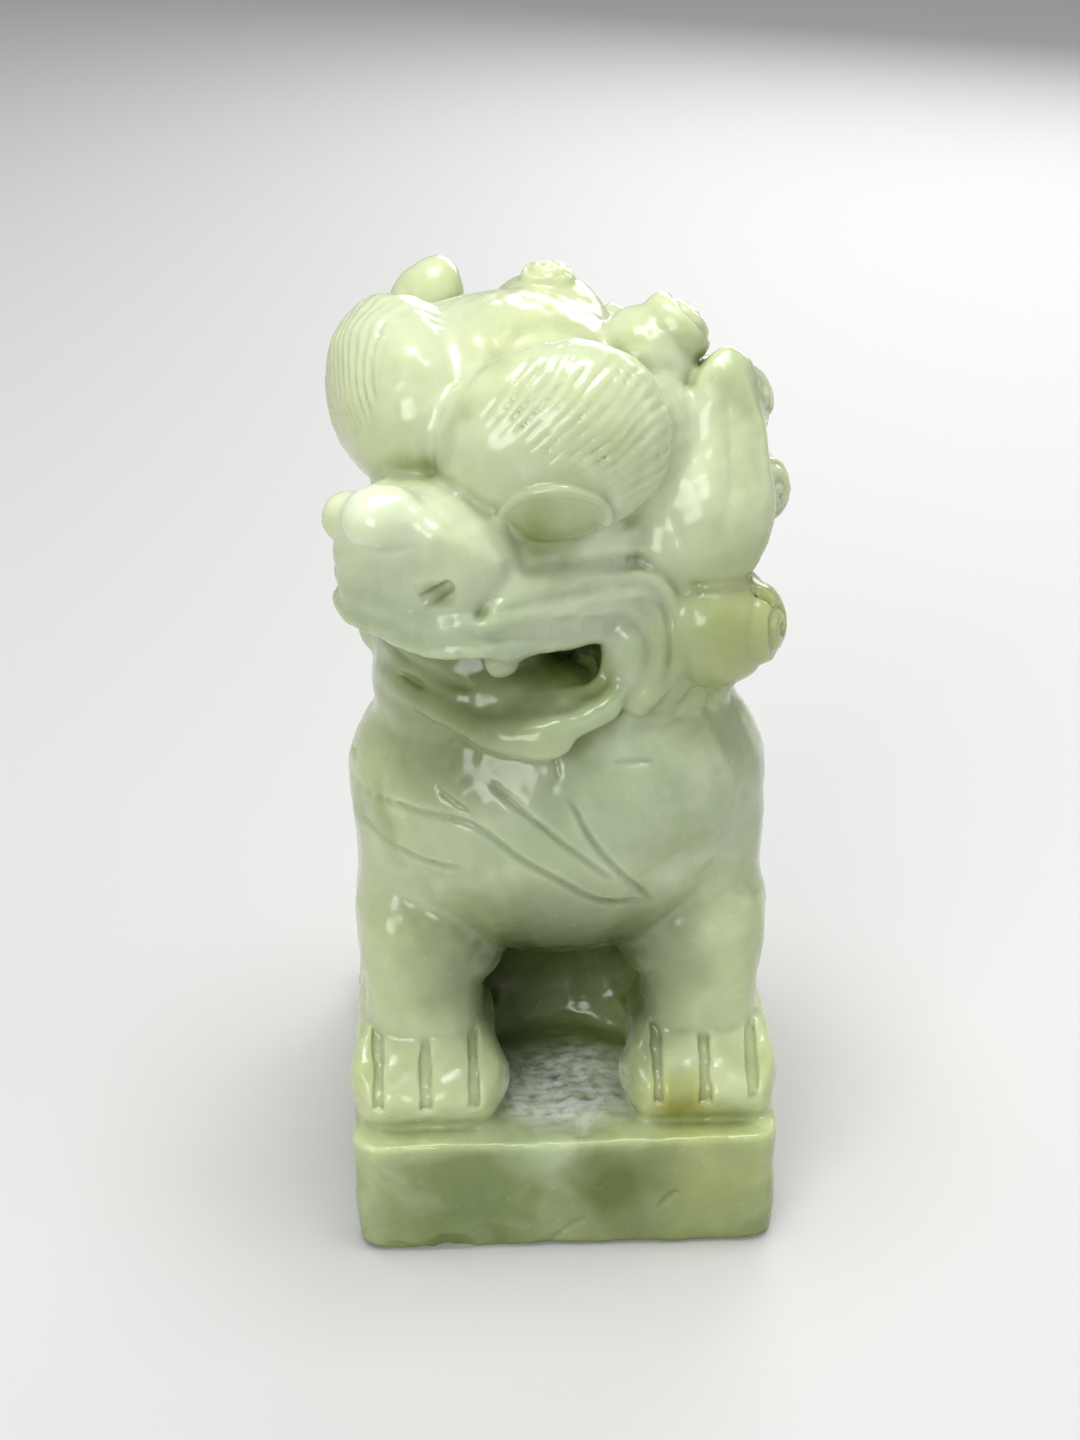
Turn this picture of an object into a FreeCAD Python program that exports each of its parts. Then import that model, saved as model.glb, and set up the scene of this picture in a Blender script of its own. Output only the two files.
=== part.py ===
"""Seated guardian lion (foo dog) carved from one block of pale green stone.

Units are millimetres. X runs to the statue's own left, Y runs to its back and Z is up. The origin is the
middle of the plinth's underside, and the lion faces -Y with its head turned towards its own right (-X).
The whole figure is cut from a single stone, so every node is one carved mass of that stone. Neighbouring
masses meet face to face along the carver's creases: each later mass is trimmed by those it grows out of.
"""

import FreeCAD, Part
import math
import os
from FreeCAD import Matrix, Placement, Rotation, Vector

# ---- driving dimensions ----
PLINTH_W = 38.6                     # across the front
PLINTH_D = 46.0                     # front to back
PLINTH_H = 12.0
FRONT = -PLINTH_D / 2
BACK = PLINTH_D / 2
SIDE = PLINTH_W / 2

PAW_W = 13.4                        # front paw, side to side
PAW_L = 15.5
PAW_H = 8.4
PAW_SETBACK = 2.2                   # plinth edge to toes
LEG_W = 11.4                        # front leg, side to side
LEG_D = 11.0
LEG_TOP = 41.2
ARCH_TOP = 26.4                     # top of the hollow between the front legs
ARCH_BACK = -4.0                    # how far back that hollow runs
TOE_GROOVE = 1.0

CHEST_CENTRE = (-0.2, -6.8, 41.6)
CHEST_RADII = (18.8, 14.4, 13.6)

HEAD_CENTRE = Vector(1.5, 1.0, 68.2)
HEAD_TURN = -37.0                   # about Z, towards the statue's right
SKULL_R = 13.2
FACE_X = -1.3                       # the face sits a little off the skull's middle, in the head's own frame
MUZZLE_W = 15.6
MUZZLE_FRONT = -23.0
LIP_Z = -8.2
JAW_FRONT = -21.4
JAW_TOP = -14.8
JAW_BOTTOM = -18.6
BROW_TURN = 38.0                    # how far each brow is swept back from the front

CURL_R = 4.7                        # one snail curl of the mane: dome radius, height and button
CURL_H = 4.4
BUTTON_R = 2.5
BUTTON_H = 1.1
CURL_ROOT = 3.0                     # how far a curl's root reaches below its foot
# The curls that frame the face, in the head's own frame: where each button ends, where the curl points away
# from, and its size as a share of a nape curl.
RING = (
    ((-4.0, 1.6, 16.9), (-4.4, 1.2, 0.0), 1.15),
    ((10.7, 1.6, 15.4), (7.0, -2.6, 10.0), 1.0),
    ((17.2, 2.6, 9.2), (7.5, 3.4, 4.2), 0.95),
    ((19.8, 2.0, 1.0), (9.0, 2.6, -0.6), 1.0),
    ((22.6, -1.6, -9.2), (14.6, -3.2, -10.4), 1.15),
    ((-11.4, 5.0, 10.6), (0.0, 1.0, 0.5), 0.95),
    ((-17.4, 3.0, 6.6), (0.0, 1.0, 0.5), 0.95),
    ((-18.6, 2.6, -1.0), (0.0, 1.0, 0.5), 1.0),
    ((-18.6, 1.4, -10.8), (-8.0, 1.0, -9.0), 1.15),
    ((4.2, 7.4, 11.2), (0.0, 1.0, 0.5), 0.95),
)
# Rows of curls behind that ring: lean towards the back (degrees), and places round from the top (degrees).
NAPE_ROWS = ((37.0, (17.0, 51.0, 86.0, 122.0)), (66.0, (0.0, 46.0, 94.0, 140.0)))


# ---- helpers ----
def ellipsoid(centre, radii, tilt=None):
    """An ellipsoid, optionally tilted about its centre by a Rotation."""
    stretch = Matrix()
    stretch.scale(*radii)
    body = Part.makeSphere(1.0).transformGeometry(stretch)
    body.Placement = Placement(Vector(*centre), tilt or Rotation())
    return body


def sphere(centre, radius):
    return Part.makeSphere(radius, Vector(*centre))


def round_box(low, high, radius, chosen=None):
    """A box between two corners with rounded edges; chosen picks which edges, and by default all."""
    size = [b - a for a, b in zip(low, high)]
    box = Part.makeBox(*size, Vector(*low))
    return box.makeFillet(radius, [e for e in box.Edges if chosen is None or chosen(e)])


def above(z):
    """Picks the edges that do not lie wholly in the level z."""
    return lambda edge: edge.BoundBox.ZMax > z + 0.1


def fuse(*shapes):
    return shapes[0].multiFuse(list(shapes[1:])).removeSplitter()


def largest(shape):
    return max(shape.Solids, key=lambda s: s.Volume)


def trimmed(shape, others):
    """The largest piece of a mass that stays outside the neighbours it touches."""
    near = [o for o in others if o.BoundBox.intersect(shape.BoundBox)]
    return largest(shape.cut(near)) if near else largest(shape)


def in_head(shape):
    """Moves a shape modelled in the head's own frame to its place on the statue."""
    turned = shape.copy()
    turned.rotate(Vector(), Vector(0, 0, 1), HEAD_TURN)
    turned.translate(HEAD_CENTRE)
    return turned


def mirrored(shape):
    return shape.mirror(Vector(), Vector(1, 0, 0))


def save(name, *solids):
    shape = solids[0] if len(solids) == 1 else Part.makeCompound(list(solids))
    shape.exportStep(f"parts/{name}.step")
    volume = sum(s.Volume for s in solids)
    print(f"{name:16s} solids {len(solids):2d}  volume {volume:9.1f}  {shape.isValid()}")


# ---- plinth ----
def make_plinth():
    block = round_box((-SIDE, FRONT, 0), (SIDE, BACK, PLINTH_H), 2.6, lambda e: e.BoundBox.ZLength > 1.0)
    block = block.makeFillet(1.6, [e for e in block.Edges if e.BoundBox.ZMax < 0.01])
    return block.makeFillet(0.5, [e for e in block.Edges if e.BoundBox.ZMin > PLINTH_H - 0.01])


# ---- front legs ----
def leg_section(z, x_in, x_out, y_front, y_back, radius):
    """The outline of a level rounded rectangle, for lofting."""
    plate = round_box((x_in, y_front, z), (x_out, y_back, z + 1.0), radius,
                      lambda e: e.BoundBox.ZLength > 0.5)
    return min(plate.Faces, key=lambda f: f.CenterOfMass.z).OuterWire


def make_foreleg():
    """The statue's left front leg with its paw; the right one is its mirror image."""
    x_out = SIDE - 0.5
    x_in = x_out - LEG_W
    toes_at = FRONT + PAW_SETBACK
    front = toes_at + 4.6
    column = Part.makeLoft([
        leg_section(PLINTH_H + 1.0, x_in, x_out, front, front + LEG_D, 3.4),
        leg_section(PLINTH_H + PAW_H + 2.0, x_in, x_out, front, front + LEG_D, 3.4),
        leg_section(LEG_TOP, x_in - 2.0, x_out - 1.8, front + 0.5, front + LEG_D + 3.0, 3.4)], True)
    paw_out = SIDE + 0.1
    paw = round_box((paw_out - PAW_W, toes_at, PLINTH_H), (paw_out, toes_at + PAW_L, PLINTH_H + PAW_H), 3.0,
                    above(PLINTH_H))
    leg = fuse(column, paw)
    grooves = []
    for share in (0.2, 0.5, 0.8):
        left = paw_out - PAW_W * share - TOE_GROOVE / 2
        down_front = Vector(left, toes_at - 1.1, PLINTH_H + 1.2)
        along_top = Vector(left, toes_at - 1.0, PLINTH_H + PAW_H - 0.8)
        grooves.append(Part.makeBox(TOE_GROOVE, 2.0, PAW_H, down_front))
        grooves.append(Part.makeBox(TOE_GROOVE, 7.0, 2.0, along_top))
    return largest(leg.cut(grooves))


# ---- body ----
def make_torso():
    """Chest, trunk, shoulders, haunches and neck as one mass standing on the plinth."""
    masses = [
        ellipsoid(CHEST_CENTRE, CHEST_RADII),
        ellipsoid((-0.2, -6.0, 36.0), (16.4, 13.4, 10.6)),
        ellipsoid((0, 5.0, 34.2), (16.5, 15.0, 22.0), Rotation(Vector(1, 0, 0), 14)),
        ellipsoid((0.5, -2.0, 52.7), (16.4, 13.6, 10.5)),
        ellipsoid((0, 11.0, 20.2), (15.5, 11.5, 12.5)),
        Part.makeBox(26.0, 20.0, 20.0, Vector(-13.0, -3.0, PLINTH_H)),
    ]
    for x in (-11.2, 11.2):
        masses.append(ellipsoid((x, 8.5, 21.7), (7.7, 12.5, 11.5), Rotation(Vector(1, 0, 0), -18)))
        masses.append(ellipsoid((x, -5.5, 35.7), (7.4, 9.5, 10.5)))
    ground = Part.makeBox(80, 80, 40, Vector(-40, -40, PLINTH_H - 40))
    half = SIDE - LEG_W - 0.5
    arch = round_box((-half, FRONT - 5, PLINTH_H - 6), (half, ARCH_BACK, ARCH_TOP), 3.8)
    return largest(fuse(*masses).cut([ground, arch]))


def make_hind_foot():
    """The statue's left hind foot, lying forward along the plinth behind the front paw."""
    foot = round_box((SIDE - 8.2, -4.2, PLINTH_H), (SIDE + 0.1, 9.0, PLINTH_H + 5.6), 2.3,
                     above(PLINTH_H))
    grooves = [Part.makeBox(3.0, 5.0, 0.7, Vector(SIDE - 1.0, -4.5, PLINTH_H + 5.6 * share))
               for share in (0.33, 0.66)]
    return largest(foot.cut(grooves))


def make_tail():
    """A bushy tail lying up the middle of the back."""
    return fuse(ellipsoid((0, 20.4, 19.7), (5.4, 3.6, 6.5)), ellipsoid((-2.2, 19.6, 27.7), (4.8, 3.8, 6.8)),
                ellipsoid((2.2, 18.2, 33.7), (4.4, 3.8, 6.8)), ellipsoid((0, 16.0, 40.2), (3.8, 4.0, 6.8)))


# ---- head, modelled in its own frame: it looks along -Y, and Z=0 is the middle of the skull ----
def mirror_face(point):
    """The same place on the other half of the face."""
    x, y, z = point
    return 2 * FACE_X - x, y, z


def leaf_turn(normal, along):
    """The Rotation that lays a leaf's thickness (Y) along normal and its length (Z) close to along."""
    normal, along = Vector(*normal), Vector(*along)
    return Rotation(normal.cross(along), normal, along, "YZX")


def head_masses():
    half = MUZZLE_W / 2
    low_muzzle = round_box((FACE_X - half, MUZZLE_FRONT, LIP_Z), (FACE_X + half, -6.0, 0.2), 2.6)
    bridge = round_box((FACE_X - 4.2, MUZZLE_FRONT + 2.2, LIP_Z + 0.8), (FACE_X + 4.2, -8.0, 3.2), 2.2)
    masses = [
        sphere((0, 1.5, -0.5), SKULL_R),
        ellipsoid((-2.2, -6.0, 7.6), (12.2, 10.4, 8.6)),
        low_muzzle,
        bridge,
        sphere((0, -2.0, -9.5), 9.8),
    ]
    for temple_x, cheek_x, cheek_z in ((10.6, 11.8, -9.0), (-12.8, -12.6, -8.4)):
        masses.append(ellipsoid((temple_x, -4.4, 3.2), (4.4, 4.6, 8.6)))
        masses.append(ellipsoid((cheek_x, -7.2, cheek_z), (4.6, 6.6, 9.0)))
    return masses


def make_lower_jaw():
    """The open jaw: a shallow tray, with the tongue and the closed side of the mouth rising inside it."""
    jaw = round_box((-9.6, JAW_FRONT, JAW_BOTTOM), (12.4, -3.0, JAW_TOP), 1.8)
    hollow = round_box((-6.6, JAW_FRONT + 2.4, JAW_TOP - 1.4), (10.4, -6.0, JAW_TOP + 4), 1.2)
    closed_side = ellipsoid((-2.2, -14.0, -12.6), (8.2, 6.4, 5.2))
    tongue = ellipsoid((5.2, -14.6, -15.6), (6.4, 5.6, 2.4))
    return largest(jaw.cut(hollow).fuse([closed_side, tongue]))


def make_fang(x, y):
    cone = Part.makeCone(1.5, 2.0, 2.2, Vector(x, y, LIP_Z - 1.4))
    return cone.makeFillet(0.4, [min(cone.Edges, key=lambda e: e.CenterOfMass.z)])


def make_nose():
    """The bulb of the nose between its two wings. The nostril is drilled later, in the left wing."""
    bulb = sphere((-2.0, -25.0, 3.0), 2.9)
    wings = (
        sphere((2.2, -19.8, -1.8), 5.4),
        sphere((-5.0, -21.2, -2.0), 4.1),
        sphere((-6.4, -23.9, 1.6), 2.0),
        sphere((-1.4, -22.0, -2.4), 3.9),
    )
    return fuse(bulb, *wings)


def make_nostril():
    return Part.makeCylinder(0.9, 4.0, Vector(3.4, -27.5, -2.2), Vector(0.1, 1, 0))


def make_brow(side):
    """One brow lobe. Side is 1 for the statue's left and -1 for its right, which stands a little higher."""
    centre = (7.5, -11.8, 7.7) if side > 0 else mirror_face((7.5, -11.8, 8.2))
    swept = Rotation(Vector(0, 0, 1), BROW_TURN * side)
    return ellipsoid(centre, (8.6, 8.3, 6.2), swept.multiply(Rotation(Vector(1, 0, 0), 90)))


def make_eye(side):
    """The eye's lens, set into the underside of the brow lobe."""
    centre, normal = (8.7, -15.7, 3.1), (0.51, -0.73, -0.46)
    if side < 0:
        centre, normal = mirror_face((8.1, -15.1, 2.9)), (-0.51, -0.73, -0.46)
    return ellipsoid(centre, (4.2, 1.9, 3.2), leaf_turn(normal, (0, 0, 1)))


def make_ear(side):
    """A broad leaf laid back along the side of the head. The right one is shorter and stands higher."""
    turned = leaf_turn((0.75 * side, -0.60, 0.28), (-0.10 * side, 0.25, 0.96))
    if side < 0:
        return ellipsoid((-16.2, -0.4, 8.9), (4.2, 3.8, 7.0), turned)
    # the same shape, with the surface's seam kept clear of the trims
    half_turn = Rotation(Vector(0, 0, 1), 180)
    return ellipsoid((16.0, -1.8, 3.4), (4.3, 2.9, 9.8), turned.multiply(half_turn))


def make_locks(side):
    """Pointed locks of the beard behind the corner of the jaw."""
    spots = ((14.2, -5.6, -14.4), (14.4, -4.2, -16.6), (14.8, -2.6, -18.6))
    locks = []
    for spot in spots:
        if side < 0:
            x, y, z = mirror_face(spot)
            spot = (x + 3.4, y + 2.0, z)
        locks.append(ellipsoid(spot, (2.2, 2.4, 5.8), Rotation(Vector(0, 1, 0), 14 * side)))
    return locks


# ---- mane ----
def snail_curl(scale=1.0):
    """One curl standing on Z=0: a round-shouldered dome that steps in to a flat round button."""
    radius, height, button = CURL_R * scale, CURL_H * scale, BUTTON_R * scale
    dome = Part.makeCone(radius, radius * 0.78, CURL_ROOT + height, Vector(0, 0, -CURL_ROOT))
    dome = dome.makeFillet(2.0, [max(dome.Edges, key=lambda e: e.CenterOfMass.z)])
    cap = Part.makeCylinder(button, BUTTON_H + 1.0, Vector(0, 0, height - 1.0))
    cap = cap.makeFillet(0.5, [max(cap.Edges, key=lambda e: e.CenterOfMass.z)])
    return dome.fuse(cap)


def curl_with_tip(tip, origin, scale=1.0):
    """A curl whose button ends at tip, pointing straight away from origin."""
    tip = Vector(*tip)
    direction = (tip - Vector(*origin)).normalize()
    foot = tip - direction * (CURL_H * scale + BUTTON_H)
    curl = snail_curl(scale)
    curl.Placement = Placement(foot, Rotation(Vector(0, 0, 1), direction))
    return curl


def nape_curls():
    """The rows behind the ring, down the back of the head."""
    curls = []
    for lean, places in NAPE_ROWS:
        back, out = math.sin(math.radians(lean)), math.cos(math.radians(lean))
        for place in places:
            a = math.radians(place)
            reach = 14.2 + 1.9 * (1 - math.cos(a))
            for side in ((1,) if place == 0.0 else (1, -1)):
                tip = (side * out * math.sin(a) * (reach - 0.6), 1.5 + back * (reach + 1.2),
                       out * math.cos(a) * reach - 0.5)
                curls.append(curl_with_tip(tip, (0, 1.0, 0.5)))
    return curls


def main():
    os.makedirs("parts", exist_ok=True)
    plinth = make_plinth()
    save("plinth", plinth)

    torso = make_torso()
    masses = [in_head(m) for m in head_masses()]
    head = largest(fuse(*masses))
    jaw = in_head(make_lower_jaw())
    save("head", trimmed(head, [torso]))
    save("lower_jaw", trimmed(jaw, masses + [torso]))
    save("seated_body", torso)

    leg = make_foreleg()
    foot = make_hind_foot()
    for side, flip in (("left", lambda s: s), ("right", mirrored)):
        save(f"foreleg_{side}", trimmed(flip(leg), [torso]))
        save(f"hind_foot_{side}", trimmed(flip(foot), [torso, flip(leg)]))
    save("tail", trimmed(make_tail(), [torso, plinth]))

    save("fangs", *[trimmed(in_head(make_fang(x, y)), masses) for x, y in ((6.6, -20.4), (-3.6, -21.0))])
    nose = trimmed(in_head(make_nose()), masses)
    save("nose", largest(nose.cut(in_head(make_nostril()))))
    grown = []
    for side, sign in (("left", 1), ("right", -1)):
        brow, ear, eye = (in_head(make(sign)) for make in (make_brow, make_ear, make_eye))
        save(f"brow_{side}", trimmed(brow, masses))
        save(f"eye_{side}", trimmed(eye, masses + [brow]))
        save(f"ear_{side}", trimmed(ear, masses + [brow, torso]))
        grown += [brow, ear]

    locks = []
    for lock in [in_head(lock) for side in (1, -1) for lock in make_locks(side)]:
        locks.append(trimmed(lock, masses + [jaw, torso] + locks))
    save("beard_locks", *locks)

    placed = []
    ring = [curl_with_tip(*place) for place in RING]
    for name, curls in (("mane_curls_front", ring), ("mane_curls_nape", nape_curls())):
        group = []
        for curl in (in_head(c) for c in curls):
            group.append(trimmed(curl, masses + grown + locks + placed + [torso]))
            placed.append(curl)
        save(name, *group)


main()
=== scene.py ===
"""Looks of the carved stone guardian lion.

The lion is modelled the way it was carved: every mass of the stone is a distance field built from
soft-edged solids and burr cuts, in millimetres, in the CAD's own frame. The fields are sampled on one grid
and each mass becomes one closed mesh, divided from its neighbours along the creases, that stands for the
CAD node of its name.
"""
import math
from concurrent.futures import ThreadPoolExecutor

import bpy
import numpy as np
import openvdb
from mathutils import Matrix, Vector


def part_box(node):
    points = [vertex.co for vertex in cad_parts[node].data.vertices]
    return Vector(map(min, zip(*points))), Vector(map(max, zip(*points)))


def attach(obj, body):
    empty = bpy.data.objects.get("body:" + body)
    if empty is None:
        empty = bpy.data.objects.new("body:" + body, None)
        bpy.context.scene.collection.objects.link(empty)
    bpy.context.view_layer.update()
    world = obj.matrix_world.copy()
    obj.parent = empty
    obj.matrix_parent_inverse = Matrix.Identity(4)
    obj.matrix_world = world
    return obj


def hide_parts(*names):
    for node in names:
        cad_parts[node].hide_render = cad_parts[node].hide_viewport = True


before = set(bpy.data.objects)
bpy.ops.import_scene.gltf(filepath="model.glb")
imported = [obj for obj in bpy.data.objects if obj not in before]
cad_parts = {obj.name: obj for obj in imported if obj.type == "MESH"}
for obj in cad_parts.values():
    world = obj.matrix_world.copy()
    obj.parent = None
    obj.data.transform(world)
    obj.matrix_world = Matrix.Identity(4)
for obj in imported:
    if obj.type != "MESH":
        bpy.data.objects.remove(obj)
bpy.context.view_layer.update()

MM = 0.001
FAR = 9.0                           # a distance that means "nowhere near", in mm
STEP = 0.25  # grid spacing of the carving, in mm
COARSE = 4                          # fine samples along one side of a coarse cell
SEAM = 0.9                          # softness of the creases between masses, in mm
OVERLAP = 1.0                       # how far each piece runs on beneath its neighbours, in mm
DIP = 0.12                          # and how steeply it dips there
MIRROR = np.array([-1, 1, 1], np.float32)
FRONT = np.array([0, -1, 0], np.float32)


# ---- the frame the carving hangs on ----
SIDE, BACK, DECK_TOP = np.array(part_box("plinth")[1]) / MM
DECK = 10.8                         # the plinth's top in the carving's own levels
LIFT = DECK_TOP - DECK              # those levels' zero, above the underside
UNDER = -LIFT                       # the underside, in those levels
HEAD_AT = np.array([1.5, 1.0, 67.0])
HEAD_TURN = -37.0                   # degrees about Z, towards the lion's right


def turn(x=0.0, y=0.0, z=0.0):
    """A rotation matrix from degrees about X, then Y, then Z."""
    x, y, z = (math.radians(a) for a in (x, y, z))
    about_x = np.array([[1, 0, 0], [0, math.cos(x), -math.sin(x)], [0, math.sin(x), math.cos(x)]])
    about_y = np.array([[math.cos(y), 0, math.sin(y)], [0, 1, 0], [-math.sin(y), 0, math.cos(y)]])
    about_z = np.array([[math.cos(z), -math.sin(z), 0], [math.sin(z), math.cos(z), 0], [0, 0, 1]])
    return about_z @ about_y @ about_x


HEAD_AXES = turn(z=HEAD_TURN)


def to_head(points):
    """Points of the carving in the head's own frame: X to its left, -Y along the muzzle, Z=0 mid-skull."""
    return ((points - HEAD_AT) @ HEAD_AXES).astype(np.float32)


def on_head(x, y, z):
    """Where a point of the head's own frame comes to lie in the finished scene, in mm."""
    return HEAD_AT + HEAD_AXES @ np.array([x, y, z]) + (0, 0, LIFT)


# ---- distance fields ----
def soft_min(a, b, blend):
    """The nearer of two distances, with a fillet of about blend where they meet."""
    if blend <= 0:
        return np.minimum(a, b)
    h = np.clip(0.5 + 0.5 * (b - a) / blend, 0, 1)
    return b + (a - b) * h - blend * h * (1 - h)


def soft_max(a, b, blend):
    return -soft_min(-a, -b, blend)


def length(v):
    return np.sqrt((v * v).sum(axis=1))


def fillet(a, b, radius):
    """Two half-spaces meeting in a rounded outer edge."""
    u, v = a + radius, b + radius
    return np.minimum(np.maximum(u, v), 0) + np.hypot(np.maximum(u, 0), np.maximum(v, 0)) - radius


def noise(points, scale, seed):
    """Smooth wandering between about -1 and 1, from a few crossed waves."""
    rng = np.random.default_rng(seed)
    total = np.zeros(len(points), np.float32)
    for _ in range(7):
        way = rng.normal(size=3)
        way *= rng.uniform(0.7, 1.5) * 2 * math.pi / scale / np.linalg.norm(way)
        total += np.sin(points @ way.astype(np.float32) + rng.uniform(0, 6.3))
    return total / 3.2


class Mass:
    """Distance from every sample to one carved mass, built up shape by shape."""

    def __init__(self, points):
        self.points = points
        self.gap = np.full(len(points), FAR, np.float32)

    def near(self, centre, reach):
        """Numbers of the samples close enough to centre for a shape there to matter."""
        offset = np.abs(self.points - np.asarray(centre, np.float32))
        return np.flatnonzero(offset.max(axis=1) < reach)

    def merge(self, index, gap, blend, carve=False):
        """Adds a shape to the mass, or cuts it away, with a fillet of about blend."""
        if carve:
            self.gap[index] = soft_max(self.gap[index], -gap, blend)
        else:
            self.gap[index] = soft_min(self.gap[index], gap, blend)

    def ellipsoid(self, centre, radii, tilt=None, blend=1.0, carve=False):
        """An ellipsoid; its distance is the usual close estimate from two scaled lengths."""
        radii = np.asarray(radii, np.float32)
        index = self.near(centre, radii.max() + 3.0)
        local = self.points[index] - np.asarray(centre, np.float32)
        if tilt is not None:
            local = local @ tilt.astype(np.float32)
        k0 = length(local / radii)
        k1 = length(local / (radii * radii)) + 1e-6
        self.merge(index, k0 * (k0 - 1) / k1, blend, carve)

    def box(self, low, high, radius, blend=1.0):
        """A box between two corners, rounded by radius."""
        low, high = np.asarray(low, np.float32), np.asarray(high, np.float32)
        centre, half = (low + high) / 2, (high - low) / 2
        index = self.near(centre, half.max() + 3.0)
        outside = np.abs(self.points[index] - centre) - (half - radius)
        gap = length(np.maximum(outside, 0)) + np.minimum(outside.max(axis=1), 0) - radius
        self.merge(index, gap, blend)

    def tube(self, path, radii, blend=0.6, carve=False):
        """A round bar through the points of path; radii may change along it."""
        path = np.asarray(path, np.float32)
        radii = np.broadcast_to(np.asarray(radii, np.float32), (len(path),))
        reach = np.abs(path - path.mean(axis=0)).max() + radii.max() + 3.0
        index = self.near(path.mean(axis=0), reach)
        local = self.points[index]
        gap = np.full(len(index), FAR, np.float32)
        for a, b, ra, rb in zip(path[:-1], path[1:], radii[:-1], radii[1:]):
            along = b - a
            t = np.clip((local - a) @ along / max(float(along @ along), 1e-6), 0, 1)
            away = local - a - t[:, None] * along
            gap = np.minimum(gap, length(away) - (ra + (rb - ra) * t))
        self.merge(index, gap, blend, carve)

    def groove(self, path, depth, width, facing=None):
        """A cut of V section along path, fading at both ends. With facing, the tool comes straight in
        along that direction, so the path may lie a little above or below the surface."""
        path = np.asarray(path, np.float32)
        index = self.near(path.mean(axis=0), np.abs(path - path.mean(axis=0)).max() + 3.0)
        local = self.points[index]
        nearest = np.full(len(index), FAR, np.float32)
        place = np.zeros(len(index), np.float32)
        for n, (a, b) in enumerate(zip(path[:-1], path[1:])):
            along = b - a
            t = np.clip((local - a) @ along / max(float(along @ along), 1e-6), 0, 1)
            away = local - a - t[:, None] * along
            if facing is not None:
                away = away - 0.85 * (away @ facing)[:, None] * facing
            away = length(away)
            closer = away < nearest
            nearest[closer] = away[closer]
            place[closer] = ((n + t) / (len(path) - 1))[closer]
        fade = np.clip(np.minimum(place, 1 - place) * 6 + 0.25, 0, 1)
        self.gap[index] += depth * fade * np.clip(1 - nearest / width, 0, 1) ** 1.3


def smooth_path(points, count=14):
    """A Catmull-Rom curve through the given points."""
    p = np.asarray(points, float)
    # one more point past either end gives the curve its direction there
    p = np.vstack([2 * p[0] - p[1], p, 2 * p[-1] - p[-2]])
    out = []
    spans = len(p) - 3
    for u in np.linspace(0, spans, count):
        i = min(int(u), spans - 1)
        t = u - i
        a, b, c, d = p[i:i + 4]
        out.append(0.5 * (2 * b + (c - a) * t + (2 * a - 5 * b + 4 * c - d) * t * t
                          + (3 * b - a - 3 * c + d) * t ** 3))
    return np.array(out)


# ---- plinth, legs and body ----
def tool_marks(points, seed):
    """Fine ridges that a coarse burr leaves, running across the lion."""
    return np.abs(noise(points * np.array([0.45, 1.0, 1.0], np.float32), 1.3, seed))


PLINTH_CRACKS = (                   # on its front: each point's X and its height above the underside
    ((-1.4, 0.6), (0.2, 2.4), (1.7, 3.4)),
    ((8.0, 4.0), (9.4, 5.8), (10.4, 6.2)),
)


def plinth(points, head_points):
    mass = Mass(points)
    x, y, z = points.T
    q = np.abs(np.stack([x, y], axis=1)) - (np.array([SIDE, BACK]) - 2.4)
    outline = np.hypot(*np.maximum(q, 0).T) + np.minimum(q.max(axis=1), 0) - 2.4
    outline = outline + 0.2 * np.clip((6 - z) / 7, 0, 1) ** 2 + 0.08 * noise(points, 13, 1)
    under = fillet(outline, UNDER - z, 0.7)
    scratched = np.clip(1.3 - np.hypot(x / 6.0, (y + 14.0) / 9.0), 0, 1)
    deck = z - DECK + 0.12 * noise(points, 11, 2) + 0.22 * scratched * tool_marks(points, 22)
    mass.gap = np.maximum(under, fillet(outline, deck, 0.45)).astype(np.float32)
    chip = Mass(points)
    chip.ellipsoid((-9.5, -BACK - 0.6, UNDER + 0.2), (9.5, 1.2, 1.7))
    chip.ellipsoid((-6.0, -BACK - 0.5, UNDER + 1.2), (4.4, 0.9, 1.9), blend=0.3)
    mass.gap = np.maximum(mass.gap, -(chip.gap + 0.25 * noise(points, 3.5, 3)))
    for crack in PLINTH_CRACKS:
        path = smooth_path([(across, -BACK, UNDER + rise) for across, rise in crack], 7)
        mass.groove(path, 0.3, 0.35, FRONT)
    return mass.gap


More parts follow.
